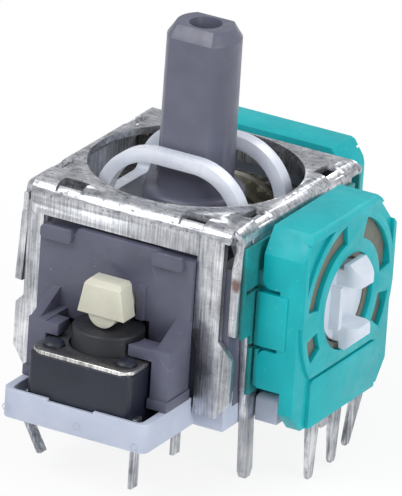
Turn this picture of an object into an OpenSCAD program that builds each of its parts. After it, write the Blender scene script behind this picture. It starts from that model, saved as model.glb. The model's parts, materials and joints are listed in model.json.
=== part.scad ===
// Analog stick module of a game controller: a stick on two crossed gimbals, each read by a small
// rotary potentiometer, with a push switch under the front end of the lower gimbal arm.
// +X points to the right potentiometer, +Y to the rear one and +Z up the stick. The origin lies on
// the underside of the base, straight below the pivot of the stick. All sizes are in millimetres.

/* [Steel frame] */
// Width of the frame over its side walls
frame_w = 13.2; // [13:0.1:14]
// Distance from the stick's axis to the outer face of the front wall
frame_front = 7.1; // [6.9:0.1:7.6]
// Height of the top plate above the underside of the base
frame_top = 11.65; // [11.4:0.05:12]
// Thickness of the sheet
sheet = 0.4; // [0.3:0.05:0.45]
// Outside radius of the folds round the top plate
fold_r = 0.8; // [0.6:0.1:1]
// Radius of the round opening in the top plate
opening_r = 5.86; // [5.7:0.02:6]
// Width of the two steel posts left and right of the front window
front_post_w = [0.95, 1.55]; // [0.6:0.05:1.6]
// How far the soldering legs and pins reach below the base
leg_drop = 3.3; // [2.5:0.1:4]
// Width of a soldering leg
leg_w = 1; // [0.8:0.05:1.3]

/* [Base] */
// Thickness of the base plate
base_t = 1.2; // [0.9:0.1:1.3]
// Width of the switch tray
tray_w = 8.8; // [8.4:0.1:9]
// Distance from the stick's axis to the front of the tray
tray_front = 12; // [11.9:0.1:12.6]
// Height of the tray's rim
tray_rim = 1.7; // [1.4:0.05:1.8]
// Thickness of the tray's side walls and of its front wall
tray_wall = [0.45, 0.25]; // [0.2:0.05:0.6]
// Thickness of the tray's floor
tray_floor = 0.6; // [0.4:0.05:0.8]

/* [Inner housing] */
// Height of the housing's walls above the underside of the base
housing_top = 9.3; // [8.8:0.1:9.5]
// Thickness of the housing's walls
housing_wall = 0.9; // [0.8:0.05:1]
// How far the front plate stands out of the frame's front wall
plate_proud = 0.3; // [0.1:0.05:0.5]

/* [Stick] */
// Height of the pivot above the underside of the base
pivot_z = 6.3; // [6.2:0.05:6.5]
// Height of the stick's tip
stick_top = 19.85; // [17:0.05:24]
// Radius of the stem at its tip
stem_r = 2.03; // [1.9:0.01:2.1]
// Radius of the stem above its collar
stem_foot_r = 2.08; // [1.95:0.01:2.15]
// Distance across the stem's two flats
stem_flats = 3.16; // [2.9:0.02:3.2]
// Radius of the blind hole in the tip
tip_hole_r = 0.9; // [0.6:0.05:1]
// Depth of that hole
tip_hole_depth = 3; // [1.5:0.1:5]
// Radius of the collar under the stem
collar_r = 2.8; // [2.6:0.05:2.85]
// Height of the collar's upper face
collar_top = 10.6; // [10.2:0.05:10.8]
// Radius of the skirt that holds the return spring
skirt_r = 2.6; // [2.4:0.05:2.65]
// Radius of the cross pin
pin_r = 0.65; // [0.5:0.05:0.7]
// Mechanical travel of the stick each way, in degrees
tilt = 18; // [12:1:20]

/* [Upper arch] */
// Half of the arch's length over its legs
arch_half = 4.6; // [4.5:0.05:4.7]
// Height of the arch's crown
arch_top = 13.07; // [12.8:0.01:13.4]
// Outside radius of the arch's shoulders
arch_shoulder = 3.4; // [3:0.1:3.8]
// Thickness of the arch's rails, seen from the front
arch_t = 0.75; // [0.6:0.05:0.8]
// Width of the slot that guides the stem
arch_slot = 3.84; // [3.76:0.02:3.9]
// Width of each rail
arch_rail = 0.8; // [0.6:0.05:0.9]

/* [Lower arm] */
// Distance from the stick's axis to the front of the arm's end block
arm_front = 9.7; // [9.3:0.05:10]
// Depth of the end block
arm_block_d = 1.25; // [1:0.05:1.5]
// Width of the end block at its foot
arm_block_w = 2.83; // [2.4:0.05:3]
// Width of the end block at its top
arm_block_top_w = 2.15; // [1.2:0.05:2.4]
// Radius of the neck, the roll bearing in the front plate
neck_r = 0.8; // [0.7:0.02:0.9]

/* [Push switch] */
// Side of the square switch body
switch_w = 6.2; // [5.9:0.1:6.2]
// Distance from the stick's axis to the switch's centre
switch_y = 8.6; // [8.5:0.05:8.7]
// Height of the switch's steel cover above the underside of the base
switch_top = 4.2; // [4:0.05:4.3]
// Radius of the button
button_r = 1.95; // [1.6:0.05:2]
// Height of the button's face
button_top = 5.3; // [5.1:0.05:5.35]
// Travel of the button
button_travel = 0.25; // [0.15:0.01:0.3]

/* [Potentiometers] */
// Distance from the stick's axis to the outer face of a potentiometer
pot_face = 9.7; // [9.6:0.05:10.2]
// Distance from the stick's axis to the inner edge of its cover
pot_back = 7.2; // [7.1:0.05:7.3]
// Width of the cover
pot_w = 10.5; // [10.2:0.1:10.8]
// Height of the cover's top
pot_top = 11.45; // [11.2:0.05:11.9]
// Height of the cover's lower edge
pot_bottom = 0.1; // [0.05:0.05:0.4]
// Radius of the hole round the rotor
pot_hole_r = 2.7; // [2.6:0.05:2.9]
// Inner and outer radius of the ring of windows
pot_window_r = [3.45, 4.6]; // [3.3:0.05:4.8]
// Pitch of the three soldering pins
pot_pitch = 2.5; // [2:0.1:2.54]

/* [Fits] */
// Running clearance of journals and keys, on the radius
run_gap = 0.05; // [0.03:0.01:0.08]
// Gap between moving pieces that only pass each other
free_gap = 0.2; // [0.12:0.02:0.24]

/* [Hidden] */
$fn = 64;
steel = [0.72, 0.73, 0.74];
teal = [0.18, 0.71, 0.69];
dark_grey = [0.39, 0.4, 0.46];
milky = [0.82, 0.84, 0.89];
eps = 0.01;

half_w = frame_w / 2;
frame_back = half_w;
front_window = [-half_w + 0.45 + front_post_w[0], half_w - 0.85 - front_post_w[1]];
lip_z = frame_top - 1.85;
slot_z = frame_top - fold_r;
corner_y = -frame_front + 0.5;
foot_z = 4.85;
leg_y = 4.48;
leg_neck = leg_y + 0.95;
strip_bend = 9.9;
housing_half = half_w - sheet - run_gap;
housing_in = housing_half - housing_wall;
plate_y = -frame_front - plate_proud;
slot_half = arch_slot / 2;
arch_outer_y = slot_half + arch_rail;
arch_slot_z = arch_top - arch_shoulder + 0.1;
journal_r = 1.45;
key_half = [1.2, 0.6];
key_end = pot_back + 0.15;
boss_y = [4.1, 4.65, 5.1];
boss_r = [2.75, 3.4];
arm_ring_in = [skirt_r + 0.35, skirt_r + 0.8];
arm_ring_out = arm_ring_in + [0.6, 0.8];
arm_half_t = 1;
nub_r = 0.85;
nub_z = button_top + 0.1 + nub_r;
press_y = key_end - key_half[1];
press_angle = asin(button_travel / (press_y + switch_y));
switch_x = -0.05;
switch_foot = tray_floor;
plate_cut_z = 1.65;
cover_t = 0.25;
tray_lift = 0.05;
dish_r = 1.9;
dish_z = 1.3;
dish_t = 0.6;
skirt_foot = 2.9;
spring_seat = pivot_z - pin_r - 0.35;
board_x = [pot_face - 0.8, pot_face - 0.3];
board_hole_r = 2.35;
prong_half = 0.9;
pin_x = [pot_face - 0.5, pot_face - 0.25];
board_z = [2.85, pot_top - 0.95];
rotor_x = [pot_back + 0.15, board_x[0] - 0.3];

// Solid between two corners
module block(low, high) {
    translate(low) cube(high - low);
}

// Outline in (x, z) made a slab that runs from y0 to y1
module slab_y(y0, y1) {
    translate([0, y1, 0]) rotate([90, 0, 0]) linear_extrude(y1 - y0) children();
}

// Outline in (y, z) made a slab that runs from x0 to x1
module slab_x(x0, x1) {
    translate([x0, 0, 0]) rotate([90, 0, 90]) linear_extrude(x1 - x0) children();
}

// Rod along X at the pivot's height
module rod_x(x0, x1, r) {
    translate([x0, 0, pivot_z]) rotate([0, 90, 0]) cylinder(h = x1 - x0, r = r);
}

// Rod along Y at a height z
module rod_y(y0, y1, r, z = pivot_z) {
    translate([0, y0, z]) rotate([-90, 0, 0]) cylinder(h = y1 - y0, r = r);
}

// Outline of a box whose two upper corners are rounded
module crown(left, right, bottom, top, r) {
    translate([left, bottom]) square([right - left, top - r - bottom]);
    translate([left + r, bottom]) square([right - left - 2 * r, top - bottom]);
    for (x = [left + r, right - r]) translate([x, top - r]) circle(r);
}

// Outline of a rectangle with round corners
module rounded_rect(low, high, r) {
    translate([low.x + r, low.y]) square([high.x - low.x - 2 * r, high.y - low.y]);
    translate([low.x, low.y + r]) square([high.x - low.x, high.y - low.y - 2 * r]);
    for (x = [low.x + r, high.x - r], y = [low.y + r, high.y - r]) translate([x, y]) circle(r);
}

// The box that the frame is folded round, smaller all round by an inset
module frame_form(inset) {
    r = fold_r - inset;
    intersection() {
        slab_y(-frame_front + inset, frame_back - inset)
            crown(-half_w + inset, half_w - inset, -leg_drop - 1, frame_top - inset, r);
        slab_x(-half_w + inset, half_w - inset)
            crown(-frame_front + inset, frame_back - inset, -leg_drop - 1, frame_top - inset, r);
    }
}

// Front wall: a lip under the top plate and a post with a foot each side of the window
module front_wall_outline() {
    foot_in = front_window + [-0.05, 0.3];
    left_post = front_window[0] - front_post_w[0];
    right_post = front_window[1] + front_post_w[1];
    polygon([
        [left_post, frame_top], [left_post, foot_z + 0.1], [-half_w, foot_z - 0.4], [-half_w, 2],
        [-half_w + 0.75, 0.85], [foot_in[0], 0.85], [foot_in[0], foot_z], [front_window[0], foot_z + 0.4],
        [front_window[0], lip_z], [front_window[1], lip_z], [front_window[1], foot_z + 0.4],
        [foot_in[1], foot_z - 0.4], [foot_in[1], 0.85], [half_w - 0.75, 0.85], [half_w, 1.9],
        [half_w, foot_z - 0.5], [right_post, foot_z + 0.4], [right_post, frame_top]
    ]);
}

// Corner strip of a side wall above a height. It bends back to the top plate at its upper end.
module corner_strip_outline(low) {
    front = -frame_front + 0.2;
    intersection() {
        polygon([
            [front, 5.7], [front + 0.1, 5.6], [front + 0.5, 5.6], [front + 0.5, 9.3], [front + 1.15, 10.3],
            [front + 1.15, frame_top], [corner_y, frame_top], [corner_y, 10.4], [front, 9.5]
        ]);
        translate([-2 * frame_front, low]) square(4 * frame_front);
    }
}

// Soldering leg and the narrow neck that carries it, for the leg nearer the front. It leans backwards.
module leg_outline() {
    outer = -leg_y - leg_w / 2;
    inner = -leg_y + leg_w / 2;
    lean = 0.2;
    bend = foot_z + 0.5;
    neck_w = 0.45;
    polygon([
        [-leg_neck, frame_top], [-leg_neck, bend], [outer, 0], [outer + lean, -leg_drop + 0.4],
        [outer + lean + 0.25, -leg_drop], [inner + lean - 0.25, -leg_drop], [inner + lean, -leg_drop + 0.4],
        [inner, 0], [inner, 1.7], [outer + neck_w, 2.3], [-leg_neck + neck_w, bend],
        [-leg_neck + neck_w, frame_top]
    ]);
}

// Side wall on the right: open for the potentiometer
module right_wall_outline(strip_low = 0) {
    corner_strip_outline(strip_low);
    for (side = [0, 1]) mirror([side, 0]) leg_outline();
    translate([-leg_neck, lip_z]) square([2 * leg_neck, frame_top - lip_z]);
}

// Side wall on the left: closed but for the hole round the arch's journal
module left_wall_outline() {
    difference() {
        union() {
            right_wall_outline(strip_bend);
            translate([-leg_neck + 0.2, foot_z]) square([2 * leg_neck - 0.4, frame_top - foot_z]);
            translate([-leg_y + 0.2, 3]) square([2 * leg_y - 0.4, frame_top - 3]);
        }
        translate([0, pivot_z]) circle(journal_r + 0.4);
    }
}

// Rear wall: open for the second potentiometer, with the same feet as the front
module rear_wall_outline() {
    for (side = [0, 1]) mirror([side, 0])
        polygon([
            [0, frame_top], [0, lip_z], [leg_y - 0.4, lip_z], [leg_y - 0.4, 1.05], [half_w - 0.9, 1.05],
            [half_w - sheet - 0.05, 2.3], [half_w - sheet - 0.05, foot_z], [half_w - 1, foot_z + 0.5],
            [half_w - 1, frame_top]
        ]);
}

// Slits pierced across the folds, two on each side of the top plate but the rear
module fold_slits() {
    low = frame_top - sheet - 0.02;
    for (x = [-3.93, 3.57])
        slab_y(-frame_front - 1, -frame_front + 1.25)
            polygon([[x - 0.75, low], [x - 0.8, frame_top + 1], [x + 0.8, frame_top + 1], [x + 0.75, low]]);
    for (x = [-half_w - 1, half_w - 1.15], y = [-3.95, 3.95])
        translate([0, y, 0])
            slab_x(x, x + 2.15)
            polygon([[-0.8, low], [-0.9, frame_top + 1], [0.9, frame_top + 1], [0.8, low]]);
}

// The frame's free corners, where the front fold and a side fold end short of each other
module corner_notches() {
    for (x = [-half_w - 1, half_w - 0.55])
        block([x, -frame_front - 1, 10.4], [x + 1.55, corner_y, frame_top + 1]);
}

// The corner strip on the left, bent outwards
module left_strip() {
    translate([-half_w, 0, strip_bend + 0.3])
        rotate([0, 3, 0])
        translate([0, 0, -strip_bend - 0.3])
        slab_x(0, sheet)
        corner_strip_outline(0);
}

module frame() {
    color(steel) {
        difference() {
            intersection() {
                difference() {
                    frame_form(0);
                    frame_form(sheet);
                }
                union() {
                    block([-half_w, -frame_front, slot_z], [half_w, frame_back, frame_top]);
                    slab_y(-frame_front, -frame_front + sheet) front_wall_outline();
                    slab_y(frame_back - sheet, frame_back) rear_wall_outline();
                    slab_x(half_w - sheet, half_w) right_wall_outline();
                    slab_x(-half_w, -half_w + sheet) left_wall_outline();
                }
            }
            translate([0, 0, frame_top - 2 * sheet]) cylinder(h = 3 * sheet, r = opening_r);
            fold_slits();
            corner_notches();
        }
        intersection() {
            left_strip();
            block([-half_w - 1, -frame_front, 0], [0, 0, strip_bend + 0.5]);
        }
    }
}

// Room for the switch body where it reaches back under the front plate
module switch_room(low, high) {
    half = switch_w / 2 + 0.1;
    block([switch_x - half, -switch_y, low], [switch_x + half, -switch_y + half, high]);
}

// Outline of the tray, seen from above
module tray_outline(inset) {
    rounded_rect([-tray_w / 2 + inset, -tray_front + inset], [tray_w / 2 - inset, -frame_front + 1], 0.5);
}

// Flange under a potentiometer, for the right one
module pot_flange() {
    half = 4.05;
    neck = 3.6;
    end = pot_face - 1.7;
    block([housing_half - 0.1, -neck, 0], [half_w + 0.1, neck, base_t - 0.1]);
    intersection() {
        slab_x(half_w + 0.06, end) crown(-half, half, 0, 1.6, 0.4);
        slab_y(-half - 1, half + 1) crown(half_w + 0.06, end + 1, 0, 1.6, 0.35);
    }
}

module base() {
    bowl_r = pivot_z - dish_z + 0.45;
    wall_front = -frame_front + sheet + run_gap;
    color([0.75, 0.78, 0.85]) {
        difference() {
            union() {
                translate([0, 0, tray_lift]) linear_extrude(tray_rim - tray_lift) tray_outline(0);
                block([-housing_half, wall_front, 0], [housing_half, housing_half, base_t]);
                for (x = [-housing_half, housing_half - 1])
                    block([x, wall_front, 0], [x + 1, wall_front + 0.9, 2.1]);
                pot_flange();
                rotate([0, 0, 90]) pot_flange();
            }
            translate([0, 0, tray_floor])
                linear_extrude(tray_rim)
                rounded_rect(
                    [-tray_w / 2 + tray_wall[0], -tray_front + tray_wall[1]],
                    [tray_w / 2 - tray_wall[0], plate_y + 0.1], 0.3
                );
            switch_room(tray_floor, tray_rim + 1);
            translate([-1.65, -tray_front - 1, tray_rim - 0.15]) cube([2.8, 2, 1]);
            block([-tray_w / 2 - 0.1, -frame_front, base_t], [tray_w / 2 + 0.1, 0, tray_rim + 1]);
            translate([0, 0, pivot_z]) sphere(r = bowl_r, $fn = 96);
            for (pin = SWITCH_PINS) block([pin.x - 0.3, pin.y - 0.45, -1], [pin.x + 0.3, pin.y + 0.45, 2]);
        }
    }
}

// Front plate of the housing, which fills the frame's front window
module plate_outline() {
    left = front_window[0] + run_gap;
    right = front_window[1] - run_gap;
    polygon([
        [left, 1.9], [left, housing_top], [-3.1, housing_top], [-2.9, housing_top + 0.3],
        [1.9, housing_top + 0.3], [2.1, housing_top + 0.2], [right, housing_top + 0.2], [right, 5.6],
        [right - 0.5, 5.1], [right - 0.5, 1.9]
    ]);
}

// Arm beside the switch: a post, a sloping rib back to the plate and a hook over the switch's cover
module switch_arm(side) {
    post = [3.25, tray_w / 2 - 0.1];
    rib = side < 0 ? post[1] - 0.55 : post[0] + 0.1;
    tip = side < 0 ? 2.5 : 1.6;
    top = 5.05;
    front = -arm_front;
    mirror([side < 0 ? 1 : 0, 0, 0]) {
        slab_x(rib, post[1])
            polygon([[front + 0.1, top - 0.1], [plate_y, top + 1.05], [plate_y + eps, tray_rim + 0.3]]);
        block([post[0], front, tray_rim + 0.2], [post[1], plate_y + eps, top]);
        block([tip, front, switch_top + 0.15], [post[0] + eps, front + 1.2, top - 0.05]);
        block([post[0] - 0.05, front - 0.2, tray_rim + 0.05], [post[1] + 0.1, plate_y + eps, tray_rim + 0.6]);
    }
}

module inner_housing() {
    wall_front = -frame_front + sheet + run_gap;
    window = [front_window[0] + 0.3, front_window[1] - 0.3];
    color(dark_grey) {
        difference() {
            union() {
                block([-housing_half, wall_front, base_t], [housing_half, housing_half, housing_top]);
                block([window[0], wall_front, housing_top - 1], [window[1], wall_front + 0.5, frame_top - 0.65]);
                slab_y(plate_y, wall_front + eps) plate_outline();
                for (side = [-1, 1]) switch_arm(side);
                for (lug = [[-5.05, 8.75], [1.75, 8.85]])
                    translate([lug.x, 0, lug.y])
                        slab_y(plate_y - 0.3, plate_y + eps) rounded_rect([0, 0], [1.9, 0.75], 0.25);
                block([0.95, plate_y - 0.15, 4.95], [1.4, plate_y + eps, 7.5]);
            }
            block([-housing_in, wall_front + housing_wall, 0], [housing_in, housing_in, 20]);
            switch_room(0, switch_top + 0.3);
            at_switch() translate([0, 0, switch_top]) cylinder(h = button_top + 0.2 - switch_top, r = button_r + 0.2);
            block([-3.6, plate_y, 0], [3.8, plate_y + 1.8, plate_cut_z]);
            for (x = [-housing_half - 0.1, housing_half - 1.05])
                block([x, wall_front - 1, 0], [x + 1.15, wall_front + 0.95, 2.15]);
            rod_x(-housing_half - 1, housing_half + 1, journal_r + run_gap);
            rod_y(housing_in - 1, housing_half + 1, journal_r + run_gap);
            slab_y(plate_y - 1, wall_front + housing_wall + 1)
                union() {
                    translate([0, pivot_z]) circle(neck_r + 0.08);
                    translate([0, pivot_z - 0.3]) circle(neck_r + 0.08);
                    translate([-neck_r - 0.08, pivot_z - 0.3]) square([2 * neck_r + 0.16, 0.3]);
                }
        }
    }
}

// Stem with two flats and a chamfered tip
module stem() {
    chamfer = [0.45, 0.7];
    flat = stem_flats / 2;
    intersection() {
        union() {
            translate([0, 0, collar_top - 0.5])
                cylinder(h = stick_top - chamfer[1] - collar_top + 0.5, r1 = stem_foot_r, r2 = stem_r);
            translate([0, 0, stick_top - chamfer[1]])
                cylinder(h = chamfer[1], r1 = stem_r, r2 = stem_r - chamfer[0]);
        }
        slab_x(-3, 3)
            polygon([
                [-flat, 0], [-flat, stick_top - chamfer[1]], [-flat + chamfer[0], stick_top],
                [flat - chamfer[0], stick_top], [flat, stick_top - chamfer[1]], [flat, 0]
            ]);
    }
}

// Half section of the collar and the skirt, with the spring's well
module skirt_section() {
    edge = 0.35;
    difference() {
        union() {
            translate([0, collar_top - 1.4]) square([collar_r - edge, 1.4]);
            translate([0, collar_top - 1.4]) square([collar_r, 1.4 - edge]);
            translate([collar_r - edge, collar_top - edge]) circle(edge);
            translate([0, skirt_foot]) square([skirt_r, collar_top - 1 - skirt_foot]);
        }
        translate([-1, skirt_foot - 1]) square([dish_r + 1.1, spring_seat - skirt_foot + 1]);
        translate([-5, 0]) square([5, 20]);
    }
}

module stick() {
    color(dark_grey) {
        difference() {
            union() {
                stem();
                rotate_extrude() skirt_section();
            }
            translate([0, 0, stick_top - tip_hole_depth]) cylinder(h = tip_hole_depth + 1, r = tip_hole_r);
            rod_x(-5, 5, pin_r);
        }
    }
}

module pivot_pin() {
    color(steel) rod_x(-arm_ring_out.x + 0.1, arm_ring_out.x - 0.1, pin_r);
}

// Arch seen from the front, as the space between two rounded outlines
module arch_outline() {
    foot = pivot_z - 1.6;
    difference() {
        crown(-arch_half, arch_half, foot, arch_top, arch_shoulder);
        crown(-arch_half + arch_t, arch_half - arch_t, foot - 1, arch_top - arch_t, arch_shoulder - arch_t);
    }
}

// Legs seen from the side, tapered to a round boss at the pivot
module arch_leg_outline() {
    polygon([
        [-arch_outer_y, arch_top + 1], [-arch_outer_y, pivot_z + 2.6], [-1.5, pivot_z + 0.4],
        [1.5, pivot_z + 0.4], [arch_outer_y, pivot_z + 2.6], [arch_outer_y, arch_top + 1]
    ]);
    translate([0, pivot_z]) circle(1.6);
}

module upper_arch() {
    color(milky) {
        difference() {
            intersection() {
                slab_y(-arch_outer_y, arch_outer_y) arch_outline();
                slab_x(-arch_half, arch_half) arch_leg_outline();
            }
            slab_x(-arch_half - 1, arch_half + 1)
                rounded_rect([-slot_half, arch_slot_z], [slot_half, arch_top + 2], 0.4);
            for (side = [-1, 1])
                translate([0, 0, pivot_z]) rotate([0, side * tilt, 0])
                    cylinder(h = collar_top - pivot_z + free_gap, r = collar_r + free_gap);
        }
        rod_x(-housing_half, -arch_half + eps, journal_r);
        rod_x(arch_half - eps, housing_half + run_gap, journal_r);
        block(
            [housing_half, -key_half[0], pivot_z - key_half[1]],
            [key_end, key_half[0], pivot_z + key_half[1]]
        );
    }
}

// End block that presses the switch, narrower at its top and sloped there at the front
module arm_block() {
    foot = pivot_z - 0.2;
    top = pivot_z + 1.7;
    intersection() {
        slab_y(-arm_front, -arm_front + arm_block_d)
            polygon([
                [-arm_block_w / 2, foot], [-arm_block_top_w / 2, top - 0.15], [-arm_block_top_w / 2 + 0.15, top],
                [arm_block_top_w / 2 - 0.15, top], [arm_block_top_w / 2, top - 0.15], [arm_block_w / 2, foot]
            ]);
        slab_x(-2, 2)
            polygon([
                [-arm_front, foot], [-arm_front, top - 0.25], [-arm_front + 0.3, top],
                [-arm_front + arm_block_d, top], [-arm_front + arm_block_d, foot]
            ]);
    }
}

// Tongue that turns the rear rotor. Its round end is the hinge on which the arm dips onto the switch.
module press_tongue() {
    block([-key_half[0], housing_half, pivot_z - key_half[1]], [key_half[0], press_y, pivot_z + key_half[1]]);
    translate([0, press_y, 0]) rod_x(-key_half[0], key_half[0], key_half[1]);
}

module lower_arm() {
    color([0.86, 0.84, 0.74]) {
        difference() {
            union() {
                translate([0, 0, pivot_z - arm_half_t])
                    linear_extrude(2 * arm_half_t) rounded_rect(-arm_ring_out, arm_ring_out, 0.8);
                rod_x(-arm_ring_out.x, arm_ring_out.x, 1.15);
                rod_y(-arm_front + arm_block_d - eps, -arm_ring_out.y + 0.2, neck_r);
                rod_y(boss_y[0], boss_y[1], boss_r[0]);
                rod_y(boss_y[1] - eps, boss_y[2], boss_r[1]);
                rod_y(arm_ring_out.y - 0.2, housing_half + run_gap, journal_r - 0.05);
                arm_block();
                rod_y(-arm_front + 0.15, -arm_front + arm_block_d, nub_r, nub_z);
                press_tongue();
            }
            translate([0, 0, pivot_z - 3]) linear_extrude(6) rounded_rect(-arm_ring_in, arm_ring_in, 0.5);
            rod_x(-arm_ring_out.x - 1, arm_ring_out.x + 1, pin_r + run_gap);
        }
    }
}

module return_dish() {
    color([0.9, 0.9, 0.88]) {
        translate([0, 0, dish_z]) cylinder(h = dish_t, r = dish_r);
        translate([0, 0, dish_z]) cylinder(h = dish_t + 1.3, r = 0.9);
    }
}

// Coil spring: rings of a round wire swept along a helix
module return_spring() {
    wire = 0.2;
    turns = 5;
    steps = 14;
    sides = 6;
    mean_r = 1.5;
    low = dish_z + dish_t + wire + 0.05;
    high = spring_seat - wire - 0.05;
    rings = turns * steps;
    function ring(i) = [
        for (s = [0:sides - 1]) let (a = 360 * i / steps, b = 360 * s / sides, r = mean_r + wire * cos(b))
        [r * cos(a), r * sin(a), low + (high - low) * i / rings + wire * sin(b)]
    ];
    color(steel)
        polyhedron(
            points = [for (i = [0:rings]) each ring(i)],
            faces = [
                [for (s = [0:sides - 1]) s],
                for (i = [0:rings - 1], s = [0:sides - 1]) let (t = (s + 1) % sides, a = i * sides, b = a + sides)
                [a + s, b + s, b + t, a + t],
                [for (s = [sides - 1:-1:0]) rings * sides + s]
            ]
        );
}

// Potentiometer cover without its openings: the meet of its three outlines
module pot_cover_form() {
    edge = 0.2;
    w = pot_w / 2;
    intersection() {
        slab_x(pot_back - 0.6, pot_face)
            polygon([
                [-w, pot_bottom + 1.15], [-w + 1.1, pot_bottom], [w - 0.9, pot_bottom], [w, pot_bottom + 1.15],
                [w, pot_top - 2.45], [w - 2.35, pot_top], [-w + 0.9, pot_top], [-w, pot_top - 1.35]
            ]);
        translate([0, 0, -1]) linear_extrude(pot_top + 2)
            polygon([
                [pot_back, -w], [pot_face - edge, -w], [pot_face, -w + edge], [pot_face, w - edge],
                [pot_face - edge, w], [pot_back, w]
            ]);
        slab_y(-w, w)
            polygon([
                [pot_back, 2.4], [pot_face - 1.05, 2.4], [pot_face - 1.05, pot_bottom], [pot_face, pot_bottom],
                [pot_face, pot_top - edge], [pot_face - edge, pot_top], [pot_back, pot_top]
            ]);
    }
}

// Slice of the window ring between two angles, counted from +Y towards +Z
module window_outline(from, to) {
    mid = (from + to) / 2;
    reach = 8;
    translate([0, pivot_z])
        intersection() {
            difference() {
                circle(pot_window_r[1]);
                circle(pot_window_r[0]);
            }
            polygon([
                [0, 0], reach * [cos(from), sin(from)], reach * 1.3 * [cos(mid), sin(mid)],
                reach * [cos(to), sin(to)]
            ]);
        }
}

// The raised part of the cover's face: the disc of windows, the upper border and the lower panel
module face_relief_outline() {
    w = pot_w / 2;
    panel_top = 2.85;
    intersection() {
        translate([0, pivot_z]) circle(5.05);
        translate([-w, panel_top + 0.2]) square([pot_w, pot_top]);
    }
    rounded_rect([-3.7, pot_bottom - 1], [3.7, panel_top], 0.3);
    difference() {
        translate([-w - 1, pivot_z]) square([pot_w + 2, pot_top]);
        translate([-w + 0.5, pivot_z - 1]) square([pot_w - 1, pot_top - pivot_z + 0.5]);
    }
}

// Side of the cover towards the front: three blocks with rounded corners, told apart by two slits
module cover_side_cuts() {
    w = pot_w / 2;
    slit = 0.25;
    for (z = [4.6, 7.9]) block([pot_back - 1, -w - 1, z], [pot_face - 1.4, -w + 0.4, z + slit]);
    for (corner = [[7.9 + slit, 0.6, 1], [4.6, 0.4, -1]])
        translate([pot_back, 0, corner[0]])
            mirror([0, 0, corner[2] < 0 ? 1 : 0])
            slab_y(-w - 1, -w + 0.4)
            difference() {
                translate([-eps, -eps]) square(corner[1] + eps);
                translate([corner[1], corner[1]]) circle(corner[1]);
            }
}

module pot_cover() {
    w = pot_w / 2;
    color(teal) {
        difference() {
            union() {
                pot_cover_form();
                block([half_w + 0.02, -w - 1.2, 5.4], [half_w + 0.22, w + 0.2, pot_top - 0.85]);
                block([half_w + 0.02, -w + 0.3, 2.9], [pot_back + eps, w - 0.3, pot_top - 2.5]);
                block([half_w + 0.02, -w - 0.15, 1.9], [half_w + 0.22, -w + 1, 5.4 + eps]);
                block([pot_back - 0.25, -w - 0.08, 4.85], [pot_face - 0.9, -w + 0.2, 7.9]);
                block([pot_back - 0.2, -w, 2.5], [pot_back + eps, -w + 0.4, 4.6]);
            }
            slab_x(half_w - 1, board_x[1]) board_outline(0.05);
            cover_side_cuts();
            translate([pot_face - 1, 0, pivot_z]) rotate([0, 90, 0]) cylinder(h = 2, r = pot_hole_r);
            slab_x(pot_face - 1, pot_face + 1) {
                window_outline(9, 70);
                window_outline(99, 171);
                window_outline(-36, -11);
                window_outline(192, 211);
            }
            for (i = [-1:1])
                block([pin_x[0] - 0.05, i * pot_pitch - 0.7, -1], [pin_x[1] + 0.05, i * pot_pitch + 0.7, 2.85]);
            slab_x(pot_face - 0.22, pot_face + 1)
                difference() {
                    translate([-w - 1, pot_bottom - 1]) square([pot_w + 2, pot_top + 2]);
                    face_relief_outline();
                }
        }
    }
}

// Outline of the board, or of the pocket it sits in when grown by a gap
module board_outline(gap) {
    half = 4.3 + gap;
    corner = 2;
    polygon([
        [-half, board_z[0] - gap], [half, board_z[0] - gap], [half, board_z[1] - corner],
        [half - corner, board_z[1] + gap], [-half + corner, board_z[1] + gap], [-half, board_z[1] - corner]
    ]);
}

module pot_board() {
    color([0.49, 0.47, 0.44])
        difference() {
            slab_x(board_x[0] + eps, board_x[1] - eps) board_outline(0);
            rod_x(board_x[0] - 1, board_x[1] + 1, board_hole_r);
        }
}

// Barbed prong that holds the rotor in the board, above the pivot, with a round tip
module rotor_prong() {
    reach = pot_face + 1.3;
    neck = 2.05;
    intersection() {
        slab_y(-prong_half, prong_half)
            translate([0, pivot_z])
            polygon([
                [rotor_x[1] - 0.1, 1.15], [rotor_x[1] - 0.1, neck], [pot_face + 0.02, neck],
                [pot_face + 0.05, 2.4], [pot_face + 0.4, 2.45], [reach - 0.05, 1.65], [reach, 1.35],
                [reach - 0.25, 1.15]
            ]);
        union() {
            translate([rotor_x[0], -prong_half, 0])
                cube([reach - prong_half - rotor_x[0], 2 * prong_half, pot_top]);
            translate([reach - prong_half, 0, 0]) cylinder(h = pot_top, r = prong_half);
        }
    }
}

module pot_rotor() {
    hub_face = pot_face - 0.35;
    color([0.9, 0.92, 0.95])
        difference() {
            union() {
                rod_x(rotor_x[0], rotor_x[1], 3.3);
                rod_x(half_w + 0.1, rotor_x[0] + eps, 2);
                rotor_prong();
                translate([0, 0, 2 * pivot_z]) mirror([0, 0, 1]) rotor_prong();
                rod_x(rotor_x[1] - eps, hub_face, 2.2);
                block([hub_face - eps, -1.45, pivot_z - 1.2], [pot_face + 0.25, -1.1, pivot_z + 1.2]);
            }
            block(
                [half_w - 1, -key_half[0] - run_gap, pivot_z - key_half[1] - run_gap],
                [key_end + run_gap, key_half[0] + run_gap, pivot_z + key_half[1] + run_gap]
            );
        }
}

// Sprung contact on the rotor: a ring with two fingers that bear on the board
module pot_wiper() {
    color([0.8, 0.68, 0.4]) {
        difference() {
            rod_x(rotor_x[1], rotor_x[1] + 0.1, 3.15);
            rod_x(rotor_x[1] - 1, rotor_x[1] + 1, 2.6);
        }
        for (z = [-2.95, 2.95])
            block([rotor_x[1], -0.3, pivot_z + z - 0.15], [board_x[0] - 0.04, 0.3, pivot_z + z + 0.15]);
    }
}

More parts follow.
